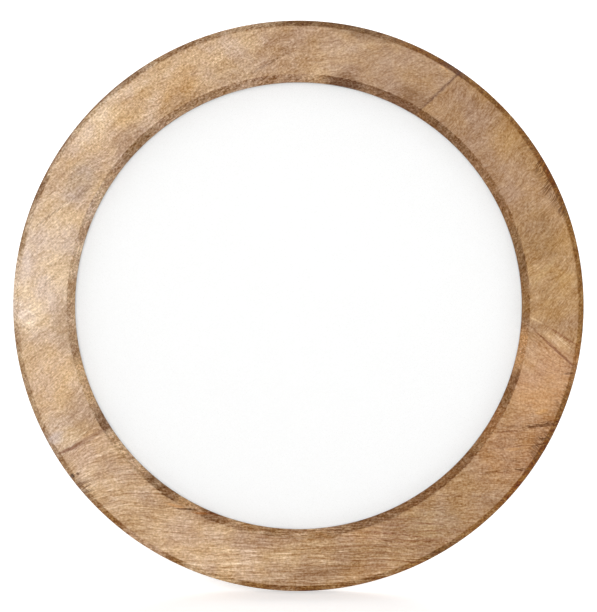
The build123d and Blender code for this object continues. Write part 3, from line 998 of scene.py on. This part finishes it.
# Strut: the easel leg, cut from the same kind of fibreboard as the back, a shade darker.
# It hangs on the hinge, and its foot stands on the floor behind the ring.
strut_tones = (seen(106, 75, 48), seen(138, 101, 67), seen(82, 57, 37))
strut_roughness = 0.58
finish_fibre("brown_strut_board", strut_tones, strut_roughness, "strut")

# Strut hinge: two leaves of nickel-plated sheet steel, rolled round a steel pin.
# Plain steel rivets hold one leaf to the back and the other to the strut.
nickel_tones = (seen(206, 200, 190), seen(188, 182, 172))
nickel_roughness = (0.28, 0.42)
hinge_pieces = ("hinge_back_leaf", "hinge_strut_leaf", "hinge_pin")
finish_metal("brushed_nickel", nickel_tones, nickel_roughness, *hinge_pieces)
steel_tones = (seen(200, 200, 200), seen(178, 178, 178))
steel_roughness = (0.24, 0.4)
rivets = ("back_leaf_rivets", "strut_leaf_rivets")
finish_metal("bright_rivet_steel", steel_tones, steel_roughness, *rivets)

# Felt pads: two discs punched from thick grey wool felt and glued low on the ring's back.
# The punch leaves their edges round and a little fuzzy.
pad_radius = 0.006
pad_thickness = 0.0020
pad_round = 0.0006
pad_round_steps = 4
pad_steps = 72
pad_insets = (0.0008, 0.0014, 0.002)
pad_band = (rebate_radius + ring_radius) / 2
pad_angles = (240, 300)
felt_dark = seen(72, 72, 74)
felt_light = seen(128, 127, 126)
felt_relief = 0.0003
pads = bmesh.new()
for angle in pad_angles:
    place = Matrix.Translation(on_ring(angle, pad_band))
    pad = bmesh.ops.create_circle(
        pads, cap_ends=True, radius=pad_radius, segments=pad_steps, matrix=place
    )["verts"]
    base = list({face for corner in pad for face in corner.link_faces})
    thicken(pads, base, -pad_thickness)
outer_rims = [
    edge
    for edge in pads.edges
    if edge.calc_face_angle(0) > sharp_bend and edge.verts[0].co.z < -pad_thickness / 2
]
ease_edges(pads, outer_rims, pad_round, pad_round_steps)
tops = [face for face in pads.faces if len(face.verts) > 4]
for inset in pad_insets:
    bmesh.ops.inset_region(pads, faces=tops, thickness=inset, use_even_offset=True)
bmesh.ops.transform(pads, matrix=ring_place, verts=pads.verts)
felt_pads = new_piece("felt_wall_pads", pads)
felt_pads.data.shade_smooth()
wool_felt, tree, shader, point = new_finish("grey_wool_felt")
fuzz = noise(tree, point, 2.6, 5, 0.7)
tufts = noise(tree, point, 0.8, 3, 0.6)
felt_tone = calc(tree, "ADD", calc(tree, "MULTIPLY", fuzz, 0.6), calc(tree, "MULTIPLY", tufts, 0.4))
felt_colour = blend(tree, rise(tree, felt_tone, 0.34, 0.66), felt_dark, felt_light)
plug(tree, felt_colour, shader.inputs["Base Color"])
plug(tree, rise(tree, fuzz, 0.3, 0.7, 0.98, 0.86), shader.inputs["Roughness"])
shader.inputs["Specular IOR Level"].default_value = 0.1
shader.inputs["Sheen Weight"].default_value = 0.4
shader.inputs["Sheen Roughness"].default_value = 0.5
bump(tree, shader, felt_tone, felt_relief)
felt_pads.data.materials.append(wool_felt)
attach(felt_pads, "frame")
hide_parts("felt_pads")

# Floor: a wide plain pale sheet, painted matt, on which the frame stands and throws its shadow.
# A glow that only the camera, metal and glass see brings it up to white.
floor_half_size = 6.0
floor_glow = 0.55
floor_form = bmesh.new()
bmesh.ops.create_grid(floor_form, x_segments=1, y_segments=1, size=floor_half_size)
floor = new_piece("floor", floor_form)
floor_paint, tree, shader, point = new_finish("pale_floor")
shader.inputs["Base Color"].default_value = (0.9, 0.9, 0.9, 1)
shader.inputs["Roughness"].default_value = 0.9


def watched(tree):
    """1 for what is seen, straight or in metal or glass, and 0 for light on its way to a piece."""
    path = tree.nodes.new("ShaderNodeLightPath")
    mirrored = calc(tree, "MAXIMUM", path.outputs["Is Glossy Ray"], path.outputs["Is Transmission Ray"])
    unspread = calc(tree, "LESS_THAN", path.outputs["Diffuse Depth"], 0.5)
    shown = calc(tree, "MULTIPLY", mirrored, unspread)
    return calc(tree, "MAXIMUM", path.outputs["Is Camera Ray"], shown)


glow = tree.nodes.new("ShaderNodeEmission")
plug(tree, calc(tree, "MULTIPLY", watched(tree), floor_glow), glow.inputs["Strength"])
both = tree.nodes.new("ShaderNodeAddShader")
tree.links.new(shader.outputs[0], both.inputs[0])
tree.links.new(glow.outputs[0], both.inputs[1])
tree.links.new(both.outputs[0], tree.nodes["Material Output"].inputs["Surface"])
floor.data.materials.append(floor_paint)

# Light: an even pale room, a soft lamp close to the camera's line for the face of the ring,
# and a broad one behind for its back and the strut. Their levels are shares of a plain white.
room_level = 0.3
glass_gain = 0.54
front_place = ring_place @ Vector((-0.06, 0.06, 3.2))
front_level = 0.612
front_size = 0.7
back_place = Vector((0.6, 2.0, 1.9))
back_level = 0.65
back_size = 2.0
room = bpy.data.worlds.new("pale_room")
bpy.context.scene.world = room
room.use_nodes = True
tree = room.node_tree
path = tree.nodes.new("ShaderNodeLightPath")
lit_level = calc(tree, "MULTIPLY_ADD", path.outputs["Is Transmission Ray"], glass_gain, room_level)
shown_level = calc(tree, "MAXIMUM", watched(tree), lit_level)
plug(tree, shown_level, tree.nodes["Background"].inputs["Strength"])
tree.nodes["Background"].inputs["Color"].default_value = (1, 1, 1, 1)


def hang_lamp(name, place, level, size):
    """A square lamp that faces the ring's centre and lights it to a level of a plain white."""
    away = place - ring_centre
    lamp = bpy.data.lights.new(name, "AREA")
    lamp.size = size
    lamp.energy = level * math.pi ** 2 * away.length ** 2
    holder = bpy.data.objects.new(name, lamp)
    holder.location = place
    holder.rotation_euler = away.to_track_quat("Z", "Y").to_euler()
    holder.visible_camera = False
    holder.visible_transmission = False
    bpy.context.collection.objects.link(holder)
    return holder


front_lamp = hang_lamp("front_lamp", front_place, front_level, front_size)
front_lamp.visible_glossy = False
hang_lamp("back_lamp", back_place, back_level, back_size)

# Camera: square on to the ring's face and far off, with a long lens, as the photograph was taken.
# Its scale and the small shift off the ring's axis come from the ring's outline there.
camera_gap = 12.0
camera_right = 0.00002
camera_up = -0.00009
camera_out = ring_thickness - outer_chamfer + camera_gap
photo_long_side = 612
pixels_per_metre = 2283
lens = bpy.data.cameras.new("camera")
lens.sensor_width = 36
lens.lens = pixels_per_metre * camera_gap / photo_long_side * lens.sensor_width
camera = bpy.data.objects.new("camera", lens)
camera.matrix_world = ring_place @ Matrix.Translation((camera_right, camera_up, camera_out))
bpy.context.collection.objects.link(camera)
bpy.context.scene.camera = camera
bpy.context.scene.view_settings.view_transform = "Standard"
